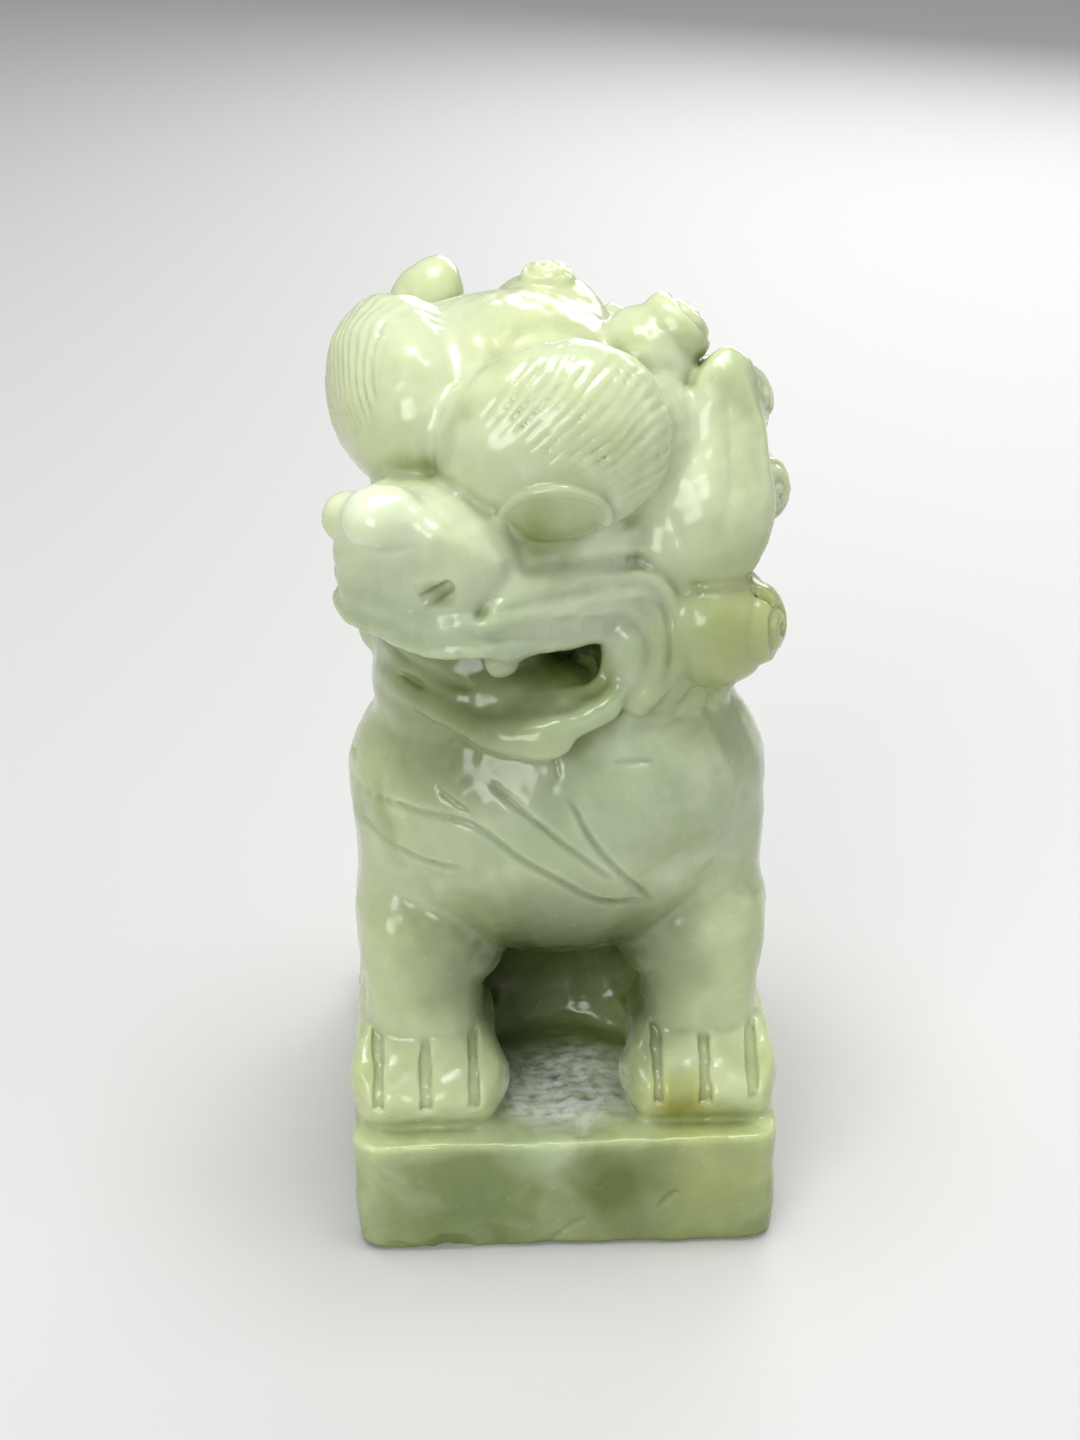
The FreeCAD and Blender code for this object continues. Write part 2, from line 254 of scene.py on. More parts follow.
def foreleg(points, side):
    """A front leg with its paw. It is shaped for the left leg; the right one mirrors the samples."""
    p = points * MIRROR if side < 0 else points
    mass = Mass(p)
    mass.box((7.3, -16.5, DECK - 1), (17.9, -4.0, 31.0), 3.2, blend=0)
    mass.box((6.9, -14.0, 22.0), (18.1, -1.0, 41.0), 4.0, blend=3.0)
    paw = Mass(p)
    paw.box((6.2, -21.0, DECK - 1.2), (19.0, -7.0, 19.3), 2.6, blend=0)
    paw.ellipsoid((12.2, -16.6, 14.0), (7.2, 4.6, 4.8), blend=1.2)
    x, y, z = p.T
    slope = ((z - 19.0) * 0.80 - (y + 15.6) * 0.60).astype(np.float32)
    paw.gap = soft_max(paw.gap, slope * 0.9 + 0.1, 0.8)
    under = (-(z - DECK - 1.0) * 0.45 - (y + 20.6) * 0.9).astype(np.float32)
    paw.gap = soft_max(paw.gap, under, 0.8)
    outer, width = 19.1, 13.4
    for share, half in ((0.16, 0.45), (0.48, 0.5), (0.80, 0.4)):
        slot_x = outer - width * share
        cut = np.maximum(np.abs(x - slot_x) - half, -(paw.gap + 0.55))
        cut = np.maximum(cut, np.maximum(y + 13.4, DECK + 2.6 - z))
        paw.gap = soft_max(paw.gap, -cut.astype(np.float32), 0.4)
    mass.gap = soft_min(mass.gap, paw.gap, 0.35)
    mass.groove([(15.9, -17.4, 22), (16.1, -17.4, 26), (15.7, -17.2, 30)], 0.35, 0.6)
    mass.groove([(13.4, -17.4, 22.5), (13.2, -17.4, 26), (13.9, -17.2, 29)], 0.25, 0.5)
    return mass.gap


def hind_foot(points, side):
    p = points * MIRROR if side < 0 else points
    mass = Mass(p)
    mass.box((10.5, -4.6, DECK - 1), (19.1, 10.0, DECK + 5.8), 2.6, blend=0)
    for z in (DECK + 2.1, DECK + 3.9):
        mass.groove([(19.2, -4.6, z), (19.2, 1.0, z)], 0.5, 0.8)
        mass.groove([(19.0, -4.8, z), (11.0, -4.8, z)], 0.5, 0.8)
    return mass.gap


CHEST_AT = np.array([-0.25, -6.8, 40.4])
CHEST_SIZE = np.array([18.8, 14.4, 13.6])
CHEST_HAIR = (                      # sweeping cuts across the chest, as (x, z) seen from the front
    ((-18.6, 41.8), (-12.9, 42.4), (-8.2, 42.3), (-4.1, 39.5), (-0.8, 37.2), (2.6, 34.6), (6.6, 33.6)),
    ((-6.6, 46.0), (-2.8, 43.0), (0.4, 40.2), (3.7, 37.2)),
    ((0.1, 45.0), (2.0, 41.2), (4.8, 37.2), (7.5, 33.4)),
    ((-17.9, 39.0), (-15.0, 38.0), (-12.0, 37.4), (-9.0, 37.6)),
    ((-1.1, 48.2), (-0.8, 46.6)),
    ((3.8, 47.4), (7.4, 47.1)),
    ((-10.8, 44.6), (-8.4, 43.4)),
)


def on_chest(x, z):
    """The point of the chest's front that is seen at x, z."""
    across = (x - CHEST_AT[0]) / CHEST_SIZE[0]
    rise = (z - CHEST_AT[2]) / CHEST_SIZE[2]
    return x, CHEST_AT[1] - CHEST_SIZE[1] * math.sqrt(max(0.02, 1 - across * across - rise * rise)), z


def seated_body(points, head_points):
    mass = Mass(points)
    mass.ellipsoid((0, 5.0, 33.0), (16.5, 15.0, 22.0), turn(x=14), blend=0)
    mass.ellipsoid((0, 11.0, 19.0), (15.5, 11.5, 12.5), blend=3.0)
    mass.box((-13.0, -3.2, DECK - 1), (13.0, 17.0, 31.0), 2.0, blend=2.0)
    for side in (1, -1):
        mass.ellipsoid((side * 11.2, -5.5, 34.5), (7.4, 9.5, 10.5), blend=1.5)
        mass.ellipsoid((side * 11.2, 8.5, 20.5), (7.7, 12.5, 11.5), turn(x=-18), blend=0.9)
    mass.ellipsoid((0.3, -2.0, 51.5), (16.4, 13.6, 10.5), blend=2.5)
    mass.ellipsoid((-4.0, -7.5, 50.0), (12.5, 9.5, 9.0), blend=2.5)
    mass.ellipsoid((0, -5.4, DECK - 1.2), (9.0, 6.5, 4.6), blend=2.5)
    chest = Mass(points)
    chest.ellipsoid(CHEST_AT, CHEST_SIZE, blend=0)
    chest.ellipsoid((-0.2, -6.0, 34.4), (16.4, 13.2, 11.2), blend=2.0)
    for side in (1, -1):
        chest.ellipsoid((side * 7.8, -9.0, 24.8), (2.8, 6.6, 3.0), blend=1.2)
    mass.gap = soft_min(mass.gap, chest.gap, 1.2)
    arch = Mass(points)
    arch.box((-7.1, -40.0, DECK - 8), (7.1, -5.0, 24.2), 3.6, blend=0)
    arch.ellipsoid((0, -11.0, DECK + 4.0), (8.0, 9.0, 7.0), blend=2.0)
    mass.gap = soft_max(mass.gap, -arch.gap, 0.8)
    mass.gap = soft_max(mass.gap, -mouth_hollow(head_points), 0.5)
    mass.ellipsoid((-19.2, -8.6, 43.4), (1.2, 1.6, 0.4), blend=0, carve=True)
    for line in CHEST_HAIR:
        path = smooth_path([on_chest(x, z) for x, z in line], 6 * len(line))
        mass.groove(path, 0.4 if len(line) < 3 else 0.6, 0.5, FRONT)
    x, y, z = points.T
    scratched = np.clip(1.4 - np.hypot(x / 6.5, (y + 13.0) / 9.0), 0, 1) * (z < DECK + 9)
    mass.gap += (0.16 * scratched * tool_marks(points, 21)).astype(np.float32)
    return mass.gap


def tail(points, head_points):
    mass = Mass(points)
    spine = smooth_path([(0, 20.5, 13.5), (-2.2, 20.6, 21), (2.0, 19.4, 29), (-1.2, 17.4, 37),
                         (0.4, 14.6, 45)], 12)
    girth = np.interp(np.linspace(0, 1, 12), (0, 0.3, 0.75, 1), (3.6, 4.6, 3.6, 1.6))
    mass.tube(spine, girth, blend=0)
    for offset in (-1.3, 0.4, 2.1):
        mass.groove(spine + np.array([offset, 4.2, 0.5]), 0.6, 0.9)
    return mass.gap


# ---- head ----
FACE = -1.3                         # X of the face's middle line in the head's frame
BROW_TURN = 38.0


def mirror_face(point):
    """The same place on the other half of the face."""
    x, y, z = point
    return np.array([2 * FACE - x, y, z])


def as_left(q, side):
    """Samples for one half of the face, moved to where the left half, whose shapes are given, has them."""
    if side > 0:
        return q
    mirrored = q.copy()
    mirrored[:, 0] = 2 * FACE - q[:, 0]
    return mirrored


def leaf_axes(normal, along):
    """Axes of a leaf: across it, out of its face, along its length."""
    normal = np.asarray(normal, float) / np.linalg.norm(normal)
    along = np.asarray(along, float) - normal * (np.asarray(along, float) @ normal)
    along = along / np.linalg.norm(along)
    return np.stack([np.cross(normal, along), normal, along], axis=1)


CHEEK_BAND = ((4.2, -19.6, -4.2), (7.4, -15.6, -4.8), (9.8, -10.4, -5.4), (11.6, -6.0, -7.6))
UNDER_BAND = ((5.6, -21.6, -6.0), (8.0, -17.4, -6.6), (10.4, -11.4, -7.6))
CHEEK_RIDGE = ((6.0, -21.2, -4.4), (8.6, -16.6, -4.6), (10.8, -11.8, -4.4), (13.0, -8.0, -5.2),
               (14.2, -6.2, -8.6), (14.0, -7.2, -12.6), (12.6, -10.0, -15.4))
LIP = ((FACE, -24.7, -6.9), (2.6, -24.9, -7.2), (6.2, -23.4, -6.9), (8.2, -19.6, -7.7),
       (9.4, -15.6, -8.3), (10.6, -11.8, -9.0), (11.6, -9.8, -11.0), (11.2, -10.6, -13.6),
       (9.8, -14.0, -15.6))
CHEEK_CUTS = (                      # depth of each cut, and its way round the corner of the mouth
    (0.55, ((5.2, -24.6, -5.7), (7.4, -22.8, -5.8), (9.7, -20.6, -6.0), (12.3, -16.6, -6.2),
            (14.0, -12.0, -7.4), (14.5, -10.3, -10.6), (14.2, -11.0, -14.2))),
    (0.55, ((6.3, -23.0, -4.2), (9.2, -19.4, -3.9), (12.3, -14.0, -3.7), (14.7, -9.6, -4.9),
            (15.6, -8.0, -9.8), (15.6, -9.4, -14.4))),
    (0.45, ((7.3, -20.0, -1.4), (10.6, -16.6, -1.2), (14.2, -9.7, -2.6), (16.3, -7.2, -6.8),
            (16.6, -6.8, -12.4))),
    (0.7, ((7.8, -20.6, -0.8), (6.4, -22.0, -3.2), (5.6, -22.8, -5.4))),
)


def on_side(path, side):
    """A path of the left half of the face, or its near mirror image for the other half."""
    if side > 0:
        return [np.array(p) for p in path]
    return [mirror_face(p) + (1.4 + 0.3 * max(0.0, -p[2] - 8), 0, 0.6) for p in path]


def add_cheek(mass, side):
    """Temple, cheek and the bands and lip that run back to one corner of the mouth."""
    temple, jowl, below_eye = on_side([(10.6, -4.2, 3.2), (11.8, -6.2, -11.4), (12.9, -4.4, -3.8)], side)
    mass.ellipsoid(temple, (4.4, 4.6, 8.6), blend=1.5)
    mass.ellipsoid(jowl, (4.6, 5.8, 7.0), blend=1.2)
    mass.ellipsoid(below_eye, (3.8, 4.8, 5.4), blend=1.5)
    mass.tube(on_side([(5.4, -14.6, -1.4), (10.4, -9.6, -1.4)], side), 2.4, blend=1.5)
    mass.tube(smooth_path(on_side(CHEEK_BAND, side)), 3.5, blend=1.0)
    mass.tube(smooth_path(on_side(UNDER_BAND, side)), 1.5, blend=0.6)
    for shift, size in ((0.0, 1.35), (1.9, 1.25)):
        ridge = np.array(CHEEK_RIDGE) + (0.9 - 0.5 * shift, -0.4, -0.75 * shift)
        mass.tube(smooth_path(on_side(ridge, side), 22), size, blend=0.3)
    lip = smooth_path(on_side(LIP, side), 26)
    mass.tube(lip[:16] + (0, 0.7, 1.5), 1.5, blend=0.5)
    mass.tube(lip, 1.1, blend=0.35)
    mass.groove(lip + (0, -1.1, 0.35), 0.3, 0.5)
    facing = np.array([0.62 * side, -0.70, 0.35], np.float32)
    for depth, line in CHEEK_CUTS:
        mass.groove(smooth_path(on_side(line, side), 40), depth, 1.0, facing)


def head(points, q):
    mass = Mass(q)
    mass.ellipsoid((0, 1.5, -0.5), (13.8, 13.0, 12.8), blend=0)
    mass.ellipsoid((-2.2, -6.0, 7.6), (12.2, 10.4, 8.6), blend=1.5)
    mass.ellipsoid((0, -2.0, -10.0), (13.0, 10.5, 8.5), blend=2.5)
    mass.box((-8.8, -23.2, -7.4), (6.8, -6.0, 0.8), 2.6, blend=1.0)
    mass.box((-6.4, -24.4, -7.4), (3.8, -8.0, 4.4), 2.2, blend=1.0)
    for side in (1, -1):
        add_cheek(mass, side)
    # the mouth opens on the left side only; behind the other half of the lips the stone is whole
    mass.box((-12.5, -17.0, -15.5), (-6.0, -6.0, -8.0), 2.4, blend=0.8)
    mass.gap = soft_max(mass.gap, -mouth_hollow(q), 0.5)
    return mass.gap


def mouth_hollow(q):
    """The space inside the open mouth, which is cut from the head and from the throat behind it."""
    hollow = Mass(q)
    hollow.box((-6.4, -40.0, -14.6), (8.4, -9.0, -8.3), 1.2, blend=0)
    hollow.ellipsoid((6.4, -12.8, -11.8), (4.6, 5.0, 3.6), blend=0.8)
    return hollow.gap


def lower_jaw(points, q):
    """The jaw hangs open on one side only: the lips still meet over the other half."""
    mass = Mass(q)
    rim = smooth_path([(-10.0, -8.0, -13.5), (-8.6, -15.0, -14.8), (-5.0, -19.4, -14.8),
                       (0.6, -20.8, -15.4), (5.6, -20.9, -16.2), (9.9, -19.2, -15.6),
                       (11.8, -16.0, -15.2), (12.6, -12.8, -14.6), (12.0, -8.8, -12.8)], 22)
    mass.box((-8.6, -18.6, -19.6), (9.6, -2.0, -15.6), 2.4, blend=0)
    mass.tube(rim, 1.15, blend=1.2)
    mass.ellipsoid((7.6, -18.6, -16.6), (4.4, 2.8, 2.0), blend=1.2)
    mass.ellipsoid((-2.2, -14.0, -12.6), (8.2, 6.4, 5.2), blend=1.2)
    mass.ellipsoid((1.6, -16.2, -14.6), (6.0, 4.6, 3.2), blend=1.0)
    mass.ellipsoid((5.2, -15.0, -15.6), (6.6, 6.0, 2.6), turn(x=10), blend=1.0)
    for drop in (0.0, 1.7):
        fold = [(-8.4, -17.0, -11.4 - drop), (-4.0, -20.0, -12.0 - drop), (1.5, -20.2, -13.0 - drop),
                (4.6, -18.6, -13.8 - drop)]
        mass.groove(smooth_path(fold), 0.4, 0.7)
    return mass.gap


def fangs(points, q):
    mass = Mass(q)
    for x, y, drop in ((6.6, -20.4, 9.2), (-3.6, -21.0, 8.8)):
        mass.tube([(x, y, -8.0), (x, y, -drop)], (2.1, 1.5), blend=0)
    return mass.gap


def nose(points, q):
    """The bulb of the nose between its two wings; only the wing on the open side has its nostril cut."""
    mass = Mass(q)
    mass.ellipsoid((2.2, -19.4, -1.8), (5.0, 6.2, 5.5), blend=0)
    mass.ellipsoid((-5.0, -21.2, -2.0), (3.9, 4.2, 4.4), blend=1.2)
    mass.ellipsoid((-1.4, -22.0, -2.4), (4.0, 3.4, 4.2), blend=1.0)
    mass.tube([(-0.6, -24.4, 3.8), (3.0, -24.4, 2.4), (5.8, -21.2, -0.4)], (1.5, 1.3, 0.9), blend=1.6)
    mass.ellipsoid((-6.4, -23.9, 1.6), (1.9, 2.1, 2.1), blend=0.8)
    mass.ellipsoid((-2.0, -25.0, 3.0), (3.1, 3.1, 2.6), blend=1.6)
    mass.tube([(2.6, -25.2, -3.0), (4.4, -24.6, -1.6)], 0.6, blend=0.4, carve=True)
    return mass.gap


EYE_AT = np.array([8.7, -15.7, 3.1])
EYE_AXES = leaf_axes((0.51, -0.73, -0.46), (-0.1, 0.1, 1.0))


def brow(q, side):
    """A swelling lobe over the eye, cut with hair lines that sweep up and outwards on its upper part."""
    p = as_left(q, side)
    mass = Mass(p)
    swept = turn(z=BROW_TURN)
    lift = 0.0 if side > 0 else 0.5
    middle = np.array([7.5, -11.8, 7.7 + lift], np.float32)
    mass.ellipsoid(middle, (8.5, 6.1, 8.1), swept, blend=0)
    mass.ellipsoid((3.0, -14.9, 7.0 + lift), (5.6, 5.0, 6.3), swept, blend=3.0)
    # the hairs: waves of a sine that runs across the lobe and bends as it rises
    across = p @ np.array([0.83, 0.24, -0.50], np.float32)
    up = p @ np.array([-0.27, 0.39, 0.88], np.float32)
    bend = across + 0.035 * (up - 4.0) ** 2 + 0.14 * noise(p, 6, 11)
    wave = np.abs(np.sin(bend * math.pi / 1.05)) ** 0.45
    upper = np.clip((up + 0.42 * across + (3.0 if side > 0 else 5.0)) / 1.6, 0, 1)
    depth = (0.30 if side > 0 else 0.40) + 0.14 * noise(p, 3.5, 12)
    local = (p - middle) @ swept.astype(np.float32)
    inner = np.clip((1.0 - np.hypot(local[:, 0] / 8.5, local[:, 2] / 8.1)) / 0.09, 0, 1)
    hairs = np.clip(depth, 0, 1) * (1 - wave) * upper * inner
    mass.gap += np.where(mass.gap < 4, hairs, 0).astype(np.float32)
    if side > 0:
        arc = np.radians(range(195, -30, -15))
        lid = [EYE_AT + EYE_AXES @ (4.4 * math.cos(t), 0.9, 3.3 * math.sin(t)) for t in arc]
        mass.tube(lid, 0.38, blend=0.25)
    return mass.gap


def eye(q, side):
    mass = Mass(as_left(q, side))
    tuck = (0, 0, 0) if side > 0 else (-1.6, 1.6, 1.0)
    mass.ellipsoid(EYE_AT + tuck, (4.3, 1.95, 3.3), EYE_AXES, blend=0)
    return mass.gap


def ear(q, side):
    """A broad leaf laid back along the side of the head. The right one is shorter and stands higher."""
    p = q * MIRROR if side < 0 else q
    mass = Mass(p)
    axes = leaf_axes((0.75, -0.60, 0.28), (-0.10, 0.25, 0.96))
    if side < 0:
        top = np.array([16.2, -0.4, 8.9])
        mass.ellipsoid(top, (4.2, 3.8, 7.0), axes, blend=0)
        return mass.gap
    top = np.array([15.7, -1.3, 4.0])
    mass.ellipsoid(top, (3.9, 2.8, 9.6), axes, blend=0)
    mass.ellipsoid(top + (1.3, -1.9, -3.6), (4.6, 2.5, 6.2), axes, blend=1.5)
    rim = ((-0.9, 1.5, 6.5), (-2.2, 2.1, 3.0), (-2.7, 1.8, -1.5), (-2.3, 2.0, -6.0))
    rim = smooth_path([top + axes @ at for at in rim], 10)
    mass.tube(rim, np.interp(range(10), (0, 4, 9), (0.1, 0.5, 0.1)), blend=1.4)
    vein = [top + axes @ (x, 2.7, z) for x, z in ((0.9, 6.0), (0.5, 2.0), (0.6, -3.0), (1.4, -7.0))]
    mass.groove(smooth_path(vein, 16), 0.28, 1.2, axes[:, 1].astype(np.float32))
    return mass.gap


LOCKS = (
    ((15.0, -3.2, -9.6), (15.0, -5.0, -13.6), (13.6, -8.0, -17.2), (11.4, -10.8, -20.2)),
    ((15.6, -1.6, -12.0), (15.2, -4.0, -15.8), (13.6, -6.8, -19.0), (12.0, -8.6, -21.2)),
    ((15.6, 0.4, -14.8), (15.2, -2.0, -18.0), (14.0, -4.6, -21.0), (13.0, -6.2, -22.6)),
)


def beard_locks(points, q):
    mass = Mass(q)
    for side in (1, -1):
        for lock in LOCKS:
            path = lock if side > 0 else [mirror_face(p) + (3.4, 2.0, 0) for p in lock]
            path = smooth_path(path, 9)
            mass.tube(path, np.linspace(2.2, 0.8, 9), blend=0.25)
    return mass.gap


# ---- mane ----
def add_curl(mass, tip, origin, size, button, spin, rise=1.0):
    """A snail curl that points away from origin: a dome carrying a thick cap with a spiral cut in it, the
    cap's middle at tip."""
    tip, origin = np.asarray(tip, float), np.asarray(origin, float)
    axis = (tip - origin) / np.linalg.norm(tip - origin)
    top = size * 0.94 + rise
    foot = tip - axis * top
    index = mass.near(foot, size * 1.4 + 3.0)
    local = mass.points[index] - foot.astype(np.float32)
    height = local @ axis.astype(np.float32)
    side = np.cross(axis, (0.1, 0.3, 1.0))
    side /= np.linalg.norm(side)
    other = np.cross(axis, side)
    u, v = local @ side.astype(np.float32), local @ other.astype(np.float32)
    r = np.hypot(u, v)
    angle = (np.arctan2(v, u) + spin) % (2 * math.pi)
    flat = np.array([size, size, size * 0.94], np.float32)
    k0 = length(np.stack([u, v, height], axis=1) / flat)
    k1 = length(np.stack([u, v, height], axis=1) / (flat * flat)) + 1e-6
    dome = k0 * (k0 - 1) / k1
    reach = button * (0.92 + 0.16 * angle / (2 * math.pi))
    cap = np.maximum(fillet(r - reach, height - top + 0.11 * r * r, 0.8), -height)
    curl = soft_min(dome, cap, 0.3)
    # the spiral on the cap, and a notch in the cap's rim where the spiral starts
    turns = (r - button * 0.5 * angle / (2 * math.pi)) / (button * 0.5)
    ridge = np.abs(turns - np.round(turns)) * button * 0.5
    cut = 0.4 * np.clip(1 - ridge / 0.4, 0, 1) * (r < reach * 0.85)
    from_start = np.minimum(angle, 2 * math.pi - angle) * r
    notch = 0.7 * np.clip(1 - from_start / 0.5, 0, 1) * (r > reach * 0.6) * (r < reach * 1.2)
    outside = height > size * 0.72
    mass.merge(index, (curl + (cut + notch) * outside).astype(np.float32), 0.3)


SKULL_MIDDLE = (0.0, 1.0, 0.5)
FRONT_CURLS = (                     # tip, where it points away from, size, button, spiral's turn, rise
    ((-4.0, 1.6, 16.9), (-4.4, 1.2, 0.0), 5.8, 2.4, 0.6, 1.0),
    ((10.9, 1.6, 15.7), (7.0, -2.6, 10.0), 4.5, 3.4, 2.3, 1.6),
    ((17.2, 2.6, 9.2), (7.5, 3.4, 4.2), 4.5, 2.8, 4.0, 1.0),
    ((19.8, 2.0, 1.0), (9.0, 2.6, -0.6), 4.8, 2.9, 5.7, 1.0),
    ((22.6, -1.6, -9.2), (14.6, -3.2, -10.4), 5.5, 3.4, 1.1, 1.0),
    ((-11.4, 5.0, 10.6), SKULL_MIDDLE, 4.4, 2.5, 2.8, 1.0),
    ((-17.4, 3.0, 6.6), SKULL_MIDDLE, 4.4, 2.5, 4.5, 1.0),
    ((-18.6, 2.6, -1.0), SKULL_MIDDLE, 4.6, 2.6, 6.2, 1.0),
    ((-18.6, 1.4, -10.8), (-8.0, 1.0, -9.0), 5.4, 3.4, 1.6, 1.0),
    ((4.2, 7.4, 11.2), SKULL_MIDDLE, 4.4, 2.5, 3.3, 1.0),
)
NAPE_ROWS = (                       # lean towards the back, and places round from the top, in degrees
    (37.0, (17.0, 51.0, 86.0, 122.0)),
    (66.0, (0.0, 46.0, 94.0, 140.0)),
)


def mane_curls_front(points, q):
    mass = Mass(q)
    for curl in FRONT_CURLS:
        add_curl(mass, *curl)
    return mass.gap


def mane_curls_nape(points, q):
    mass = Mass(q)
    n = 0
    for lean, places in NAPE_ROWS:
        back, out = math.sin(math.radians(lean)), math.cos(math.radians(lean))
        for place in places:
            a = math.radians(place)
            reach = 14.2 + 1.9 * (1 - math.cos(a))
            for side in ((1,) if place == 0.0 else (1, -1)):
                tip = (side * out * math.sin(a) * (reach - 0.6), 1.5 + back * (reach + 1.2),
                       out * math.cos(a) * reach - 0.5)
                add_curl(mass, tip, SKULL_MIDDLE, 4.8, 2.6, n * 2.1)
                n += 1
    return mass.gap


MASSES = {
    "plinth": plinth,
    "seated_body": seated_body,
    "foreleg_left": lambda p, q: foreleg(p, 1),
    "foreleg_right": lambda p, q: foreleg(p, -1),
    "hind_foot_left": lambda p, q: hind_foot(p, 1),
    "hind_foot_right": lambda p, q: hind_foot(p, -1),
    "tail": tail,
    "head": head,
    "lower_jaw": lower_jaw,
    "fangs": fangs,
    "nose": nose,
    "brow_left": lambda p, q: brow(q, 1),
    "brow_right": lambda p, q: brow(q, -1),
    "eye_left": lambda p, q: eye(q, 1),
    "eye_right": lambda p, q: eye(q, -1),
    "ear_left": lambda p, q: ear(q, 1),
    "ear_right": lambda p, q: ear(q, -1),
    "beard_locks": beard_locks,
    "mane_curls_front": mane_curls_front,
    "mane_curls_nape": mane_curls_nape,
}
NAMES = list(MASSES)


# ---- sampling and meshing ----
def sample(points):
    """For every point: distance to the whole stone, the numbers of the three nearest masses, and how much
    farther off the second and the third of them are than the first."""
    q = to_head(points)
    gaps = np.stack([MASSES[name](points, q) for name in NAMES])
    nearest = np.argpartition(gaps, 2, axis=0)[:3]
    gaps = np.take_along_axis(gaps, nearest, axis=0)
    order = np.argsort(gaps, axis=0)
    nearest = np.take_along_axis(nearest, order, axis=0).astype(np.int8)
    gaps = np.take_along_axis(gaps, order, axis=0)
    whole = soft_min(gaps[0], gaps[1], SEAM)
    whole = whole + 0.09 * noise(points, 5.5, 31) + 0.04 * noise(points, 2.3, 32)
    return whole.astype(np.float32), *nearest, gaps[1] - gaps[0], gaps[2] - gaps[0]


def sample_in_parts(points, size=120000):
    """What sample() gives, worked out a part at a time on several threads."""
    parts = [points[i:i + size] for i in range(0, len(points), size)]
    with ThreadPoolExecutor(4) as pool:
        done = pool.map(sample, parts)
    return [np.concatenate(arrays) for arrays in zip(*done)]


GRID_LOW = np.array([-24.0, -27.0, -2.5])
GRID_HIGH = np.array([25.0, 27.0, 87.0])


def every_index(counts):
    """All index triples of a block with that many samples along X, Y and Z."""
    return np.stack(np.meshgrid(*[np.arange(n) for n in counts], indexing="ij"), axis=-1).reshape(-1, 3)


def sample_stone():
    """What sample() gives, on the fine grid. Only the coarse cells near a surface or a seam are sampled
    finely; elsewhere the distance is a plain 1 or -1, which is all that meshing needs there."""
    cell = STEP * COARSE
    count = np.ceil((GRID_HIGH - GRID_LOW) / cell).astype(int)
    cells = every_index(count)
    whole, first, _, _, margin, _ = sample_in_parts((GRID_LOW + (cells + 0.5) * cell).astype(np.float32))
    reach = 0.87 * cell + STEP
    busy = (np.abs(whole) < reach) | ((whole < reach) & (margin < 2 * reach))

    def spread(values):
        block = values.reshape(count)
        return block.repeat(COARSE, 0).repeat(COARSE, 1).repeat(COARSE, 2)

    fine_count = count * COARSE
    fine = [
        spread(np.where(whole < 0, -1.0, 1.0).astype(np.float32)),
        spread(first),
        np.full(fine_count, -1, np.int8),
        np.full(fine_count, -1, np.int8),
        np.full(fine_count, FAR, np.float32),
        np.full(fine_count, FAR, np.float32),
    ]
    voxels = (cells[busy][:, None, :] * COARSE + every_index([COARSE] * 3)).reshape(-1, 3)
    where = tuple(voxels.T)
    values = sample_in_parts((GRID_LOW + (voxels + 0.5) * STEP).astype(np.float32))
    for target, value in zip(fine, values):
        target[where] = value
    return fine


def carve():
    """Shares the stone out among its masses: {name: (vertices in mm, quads, distances from a seam)}."""
    whole, first, second, third, margin, third_margin = sample_stone()
    count = np.array(whole.shape)
    meshes = {}
    for n, name in enumerate(NAMES):
        # how much nearer another mass is than this one; below zero where this one is the nearest
        mine = np.where(third == n, third_margin, FAR)
        mine[second == n] = margin[second == n]
        mine[first == n] = -margin[first == n]
        # past the boundary a piece dips gently under its neighbour, so no gap shows along the seam
        field = np.maximum(whole + DIP * np.maximum(mine, 0), (mine - OVERLAP) * 0.6)
        field = np.clip(field, -1.5, 1.5).astype(np.float32)
        inside = np.argwhere(field < 0)
        start = np.maximum(inside.min(axis=0) - 2, 0)
        stop = np.minimum(inside.max(axis=0) + 3, count)
        block = np.ascontiguousarray(field[start[0]:stop[0], start[1]:stop[1], start[2]:stop[2]])
        grid = openvdb.FloatGrid(1.5)
        grid.copyFromArray(block)
        vertices, quads = grid.convertToQuads(0.0)
        nearest = np.clip(np.rint(vertices + start).astype(int), 0, count - 1)
        from_seam = np.minimum(margin[tuple(nearest.T)], FAR)
        place = (vertices + start + 0.5) * STEP + GRID_LOW + (0, 0, LIFT)
        meshes[name] = (place, quads, from_seam)
    return meshes


def add_mesh(name, vertices, faces, from_seam):
    mesh = bpy.data.meshes.new(name)
    mesh.vertices.add(len(vertices))
    mesh.vertices.foreach_set("co", (vertices * MM).astype(np.float32).ravel())
    mesh.loops.add(faces.size)
    mesh.loops.foreach_set("vertex_index", faces.astype(np.int32).ravel())
    mesh.polygons.add(len(faces))
    mesh.polygons.foreach_set("loop_start", np.arange(0, faces.size, 4, dtype=np.int32))
    mesh.update(calc_edges=True)
    seam = mesh.attributes.new("from_seam", "FLOAT", "POINT")
    seam.data.foreach_set("value", from_seam.astype(np.float32))
    mesh.validate()
    mesh.shade_smooth()
    piece = bpy.data.objects.new(name, mesh)
    bpy.context.scene.collection.objects.link(piece)
    return piece


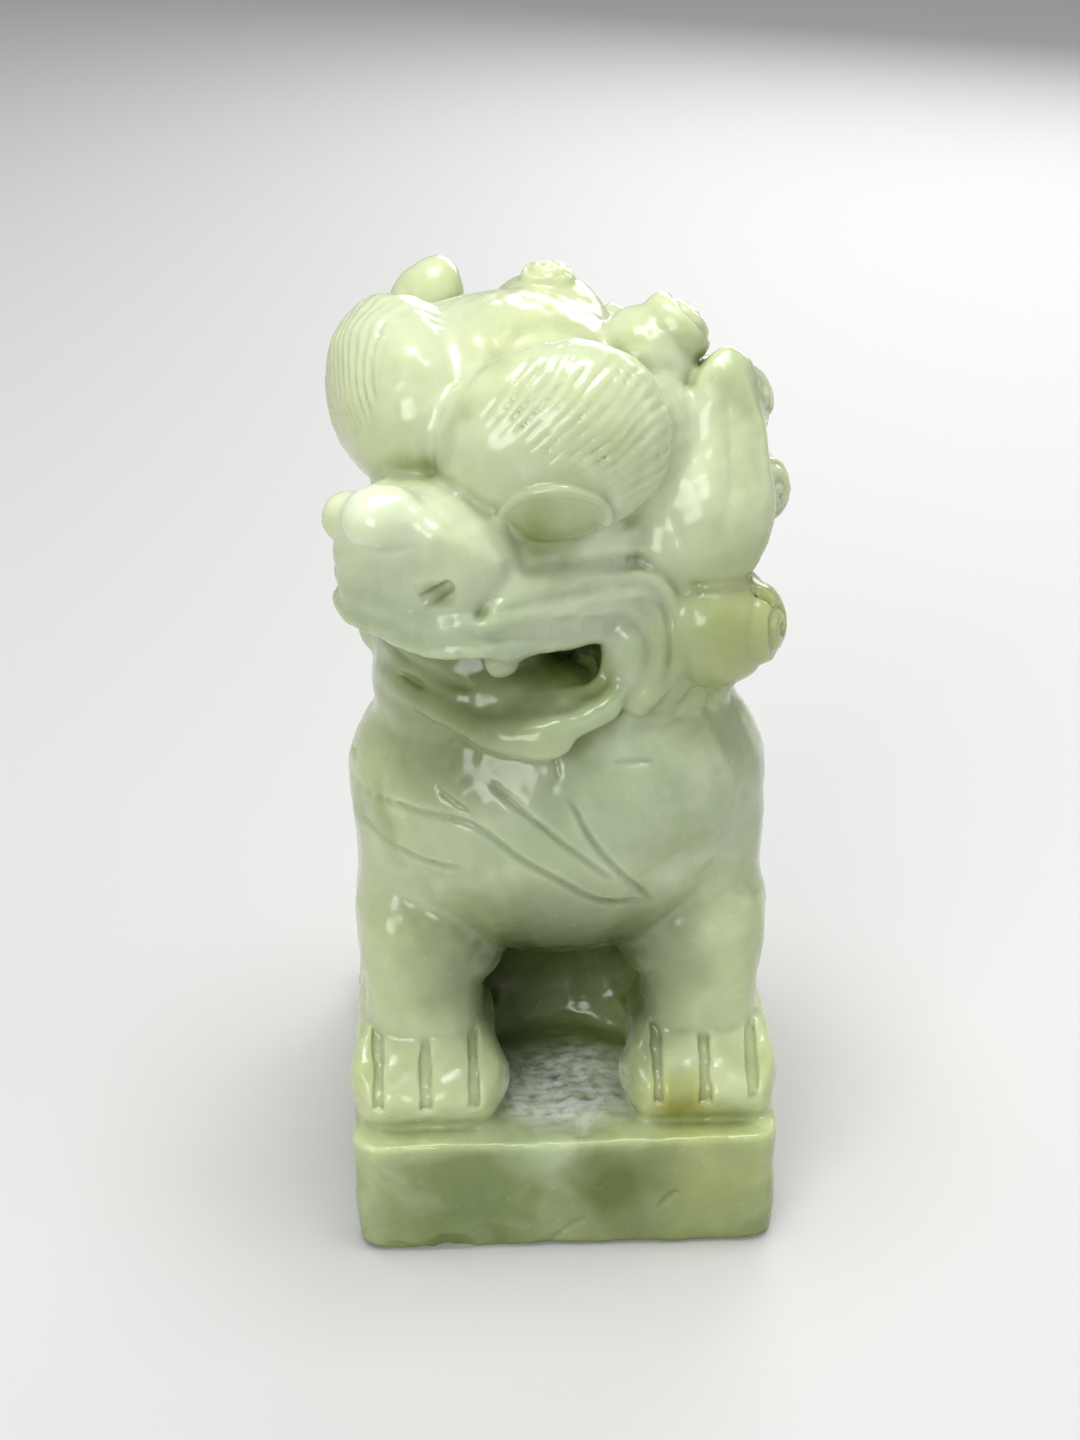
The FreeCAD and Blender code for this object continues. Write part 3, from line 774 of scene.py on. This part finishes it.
# ---- materials, floor, lights and camera ----
class Shader:
    """One material, with short ways to add nodes to its graph."""

    def __init__(self, name):
        self.material = bpy.data.materials.new(name)
        self.material.use_nodes = True
        self.nodes = self.material.node_tree.nodes
        self.links = self.material.node_tree.links
        self.surface = self.nodes["Principled BSDF"]

    def add(self, kind, **settings):
        """A node of that kind. Settings named after its inputs feed them; the rest are its properties."""
        node = self.nodes.new(kind)
        for key, value in settings.items():
            if key in node.inputs:
                self.feed(node.inputs[key], value)
            else:
                setattr(node, key, value)
        return node

    def feed(self, socket, value):
        if isinstance(value, bpy.types.NodeSocket):
            self.links.new(value, socket)
        else:
            socket.default_value = value

    def times(self, a, b):
        node = self.add("ShaderNodeMath", operation="MULTIPLY")
        self.feed(node.inputs[0], a)
        self.feed(node.inputs[1], b)
        return node.outputs[0]

    def mix(self, share, a, b):
        """Colour a where share is 0, colour b where it is 1."""
        node = self.add("ShaderNodeMix", data_type="RGBA")
        self.feed(node.inputs[0], share)
        self.feed(node.inputs[6], a)
        self.feed(node.inputs[7], b)
        return node.outputs[2]

    def range(self, value, low, high, to_low=0.0, to_high=1.0):
        """The value's place between low and high, kept between to_low and to_high."""
        node = self.add("ShaderNodeMapRange", clamp=True)
        for socket, v in zip(node.inputs, (value, low, high, to_low, to_high)):
            self.feed(socket, v)
        return node.outputs[0]

    def noise(self, where, size_mm, detail, distortion=0.0):
        node = self.add("ShaderNodeTexNoise", Vector=where, Scale=1.0 / (size_mm * MM), Detail=detail,
                        Distortion=distortion)
        return node.outputs[0]

    def spot(self, where, centre_mm, radius_mm):
        """1 round a point inside the stone, falling to 0 at radius_mm from it."""
        away = self.add("ShaderNodeVectorMath", operation="DISTANCE")
        self.feed(away.inputs[0], where)
        self.feed(away.inputs[1], tuple(c * MM for c in centre_mm))
        return self.range(away.outputs[1], radius_mm * MM, radius_mm * 0.25 * MM)


def rgb(r, g, b):
    """A display colour, 0 to 255, as linear light with full opacity."""
    shares = (c / 255 for c in (r, g, b))
    return tuple(c / 12.92 if c < 0.0404 else ((c + 0.055) / 1.055) ** 2.4 for c in shares) + (1.0,)


LEVELS = (                          # where the colour changes up the stone, how softly, and to what
    (DECK_TOP, 1.5, (184, 195, 150)),
    (36, 8, (170, 183, 150)),
    (LIFT + 66, 3.5, (196, 206, 170)),
)
STAINS_AND_PAINTED_LIGHT = (                          # middle, radius, strength and colour of each tinted place in the stone: real stains, and places of painted shade and painted highlight
    (on_head(19.0, -3.0, -11.0), 10.0, 0.9, (158, 166, 104)),     # the lowest curl
    ((21, -9, 56.5), 6.0, 0.75, (176, 158, 70)),                  # and its yellow tip
    ((10.6, -21.5, 14.9), 4.2, 0.95, (146, 144, 44)),             # the brown stain on a paw
    (on_head(2.0, -18.0, -15.5), 11.0, 0.8, (106, 120, 64)),      # painted shade under the chin and jaw
    (on_head(7.4, -12.6, -12.2), 6.5, 0.85, (124, 140, 60)),      # painted shade inside the mouth
    (on_head(3.5, -24.6, -2.2), 1.9, 0.9, (96, 112, 40)),         # painted shade in the nostril
    (on_head(10.0, -14.0, -5.0), 8.0, 0.6, (212, 218, 192)),      # cheek
    (on_head(-2.0, -26.5, 4.4), 6.0, 0.8, (222, 228, 206)),       # painted highlight on the bulb of the nose
    # painted shade on the eye, which faces down
    (on_head(*EYE_AT), 5.5, 0.9, (122, 136, 58)),
    ((0, -1, 26), 20.0, 1.0, (6, 10, 2)),                         # painted shade in the hollow between the front legs
    ((-12, -16, 17), 8.0, 0.6, (206, 214, 172)),                  # the two front paws
    ((12.5, -16, 17), 7.0, 0.5, (206, 214, 172)),
    ((14, -23, 7), 7.0, 0.5, (176, 184, 120)),                    # the plinth's front: painted light glowing through near its right edge
    # a darker patch in the middle-left of the plinth's front
    ((-9, -23, 5), 7.0, 0.5, (108, 128, 76)),
    # painted light glowing through along the plinth's top edge
    ((-2, -23, 11), 5.0, 0.6, (190, 204, 170)),
    # an olive cloud in the plinth's front
    ((5, -23, 6.0), 7.5, 0.9, (96, 112, 40)),
    ((0, -16, 26.5), 14.0, 1.0, (62, 76, 30)),                    # painted shade on the underside of the chest
)
WORN_AT = (-0.5, -14, DECK_TOP + 1.5)


def wandering_place(s, place):
    """The place, shifted up to 3 mm by a slow drift, so that what it colours has no straight edge."""
    drift = s.add("ShaderNodeTexNoise", Vector=place, Scale=1 / (9 * MM), Detail=2.0)
    shifted = s.add("ShaderNodeVectorMath", operation="MULTIPLY_ADD")
    s.feed(shifted.inputs[0], drift.outputs[1])
    s.feed(shifted.inputs[1], (6 * MM,) * 3)
    s.feed(shifted.inputs[2], place)
    centred = s.add("ShaderNodeVectorMath", operation="SUBTRACT")
    s.feed(centred.inputs[0], shifted.outputs[0])
    s.feed(centred.inputs[1], (3 * MM,) * 3)
    return centred.outputs[0]


# the stone's own colours, with painted shade and painted highlights mixed in
def stone_colour_and_painted_light(s, place, bent):
    height = s.add("ShaderNodeSeparateXYZ", Vector=bent).outputs[2]
    colour = rgb(134, 148, 92)
    for level, blend, shade in LEVELS:
        step = s.range(height, (level - blend) * MM, (level + blend) * MM)
        colour = s.mix(step, colour, rgb(*shade))
    zones = s.range(s.noise(bent, 24, 2.0), 0.45, 0.68)
    colour = s.mix(s.times(zones, 0.5), colour, rgb(206, 212, 158))
    clouds = s.range(s.noise(bent, 7, 5.0, 0.6), 0.45, 0.75)
    colour = s.mix(s.times(clouds, 0.4), colour, rgb(216, 224, 196))
    dark = s.range(s.noise(bent, 15, 4.0, 1.2), 0.55, 0.75)
    colour = s.mix(s.times(dark, 0.5), colour, rgb(128, 142, 78))
    # real stains, painted shade and painted highlights, each mixed in as a soft round patch
    for centre, radius, strength, shade in STAINS_AND_PAINTED_LIGHT:
        share = s.times(s.spot(bent, centre, radius), strength)
        colour = s.mix(share, colour, rgb(*shade))
    # painted shade: olive where the surface is sheltered, first in narrow creases, then in whole hollows
    hollow = s.add("ShaderNodeAmbientOcclusion", samples=8, only_local=False, Distance=3.2 * MM)
    crease_shade = s.range(hollow.outputs["AO"], 0.75, 0.25)
    colour = s.mix(s.times(crease_shade, 0.6), colour, rgb(138, 150, 66))
    hollow_shade_ao = s.add("ShaderNodeAmbientOcclusion", samples=8, only_local=False, Distance=16 * MM)
    depth = s.range(hollow_shade_ao.outputs["AO"], 0.62, 0.15)
    colour = s.mix(s.times(depth, 0.65), colour, rgb(108, 122, 52))
    # the whitish, unpolished patch between the paws
    worn = s.range(s.spot(bent, WORN_AT, 9.0), 0.1, 0.6)
    frayed = s.times(worn, s.range(s.noise(place, 1.2, 5.0), 0.25, 0.55))
    return s.mix(frayed, colour, rgb(240, 244, 232))


def jade_stone():
    """Pale, slightly cloudy green stone: sage in the body, yellower towards the head, with olive painted
    shade in creases and hollows.
    """
    s = Shader("jade")
    place = s.add("ShaderNodeNewGeometry").outputs["Position"]
    bent = wandering_place(s, place)
    s.feed(s.surface.inputs["Base Color"], stone_colour_and_painted_light(s, place, bent))
    # light that soaks in where two pieces of the stone meet would be lost, so it isn't let in there
    from_seam = s.add("ShaderNodeAttribute", attribute_name="from_seam").outputs["Fac"]
    s.feed(s.surface.inputs["Subsurface Weight"], s.range(from_seam, 0.3, 2.4))
    s.feed(s.surface.inputs["Subsurface Radius"], (1.0, 1.1, 0.65))
    s.feed(s.surface.inputs["Subsurface Scale"], 2.4 * MM)
    s.feed(s.surface.inputs["IOR"], 1.56)
    s.feed(s.surface.inputs["Roughness"], s.range(s.noise(place, 0.8, 4.0), 0.3, 0.7, 0.17, 0.28))
    s.feed(s.surface.inputs["Specular IOR Level"], 0.35)
    s.feed(s.surface.inputs["Coat Weight"], 0.25)
    s.feed(s.surface.inputs["Coat Roughness"], 0.09)
    waves = s.add("ShaderNodeBump", Strength=0.25, Distance=0.12 * MM, Height=s.noise(place, 1.6, 3.0))
    s.feed(s.surface.inputs["Normal"], waves.outputs[0])
    return s.material


def plain(name, colour):
    s = Shader(name)
    s.feed(s.surface.inputs["Base Color"], colour)
    s.feed(s.surface.inputs["Roughness"], 0.6)
    return s.material


LIT_POINT = Vector((0, 0, 0.04))
CAMERA_AT = (-0.01003, -0.19591, 0.14608 + LIFT * MM)
CAMERA_DIP = 28.0                   # degrees below level
CAMERA_SWING = -2.5                 # degrees about Z
LENS_MM = 60
SENSOR_MM = 36


def add_light(name, at, size, power):
    """A rectangular light of that many watts, aimed at the middle of the lion."""
    lamp = bpy.data.lights.new(name, "AREA")
    lamp.shape = "RECTANGLE"
    lamp.size, lamp.size_y = size
    lamp.energy = power
    rig = bpy.data.objects.new(name, lamp)
    rig.location = at
    rig.rotation_euler = (LIT_POINT - Vector(at)).to_track_quat("-Z", "Y").to_euler()
    bpy.context.scene.collection.objects.link(rig)


def set_floor():
    bpy.ops.mesh.primitive_plane_add(size=1.6)
    floor = bpy.context.object
    floor.name = "floor"
    floor.data.materials.append(plain("floor", rgb(205, 205, 203)))


def set_lights():
    """One broad light overhead, weaker ones in front, beside and behind, in a dim room."""
    add_light("ceiling", (0.0, 0.0, 0.55), (0.35, 0.20), 2.4)
    add_light("front", (-0.20, -0.40, 0.25), (0.25, 0.25), 1.1)
    add_light("fill", (0.40, -0.1, 0.2), (0.3, 0.3), 0.25)
    add_light("rim", (0.15, 0.40, 0.20), (0.3, 0.2), 0.8)
    room = bpy.data.worlds.new("room")
    room.use_nodes = True
    background = room.node_tree.nodes["Background"]
    background.inputs["Color"].default_value = (0.8, 0.82, 0.85, 1)
    background.inputs["Strength"].default_value = 0.34
    bpy.context.scene.world = room
    bpy.context.scene.view_settings.view_transform = "Standard"


def set_camera():
    """The camera stands in front of the lion, a little to its right, and looks down on it."""
    lens = bpy.data.cameras.new("camera")
    lens.sensor_width = SENSOR_MM
    lens.lens = LENS_MM
    lens.clip_start = 0.01
    camera = bpy.data.objects.new("camera", lens)
    camera.location = CAMERA_AT
    camera.rotation_euler = (math.radians(90 - CAMERA_DIP), 0, math.radians(CAMERA_SWING))
    bpy.context.scene.collection.objects.link(camera)
    bpy.context.scene.camera = camera


def main():
    jade = jade_stone()
    for name, mesh in carve().items():
        piece = add_mesh(name + "_carved", *mesh)
        piece.data.materials.append(jade)
        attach(piece, "root")
        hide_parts(name)
        print(name, len(mesh[0]), "vertices")
    set_floor()
    set_lights()
    set_camera()


main()
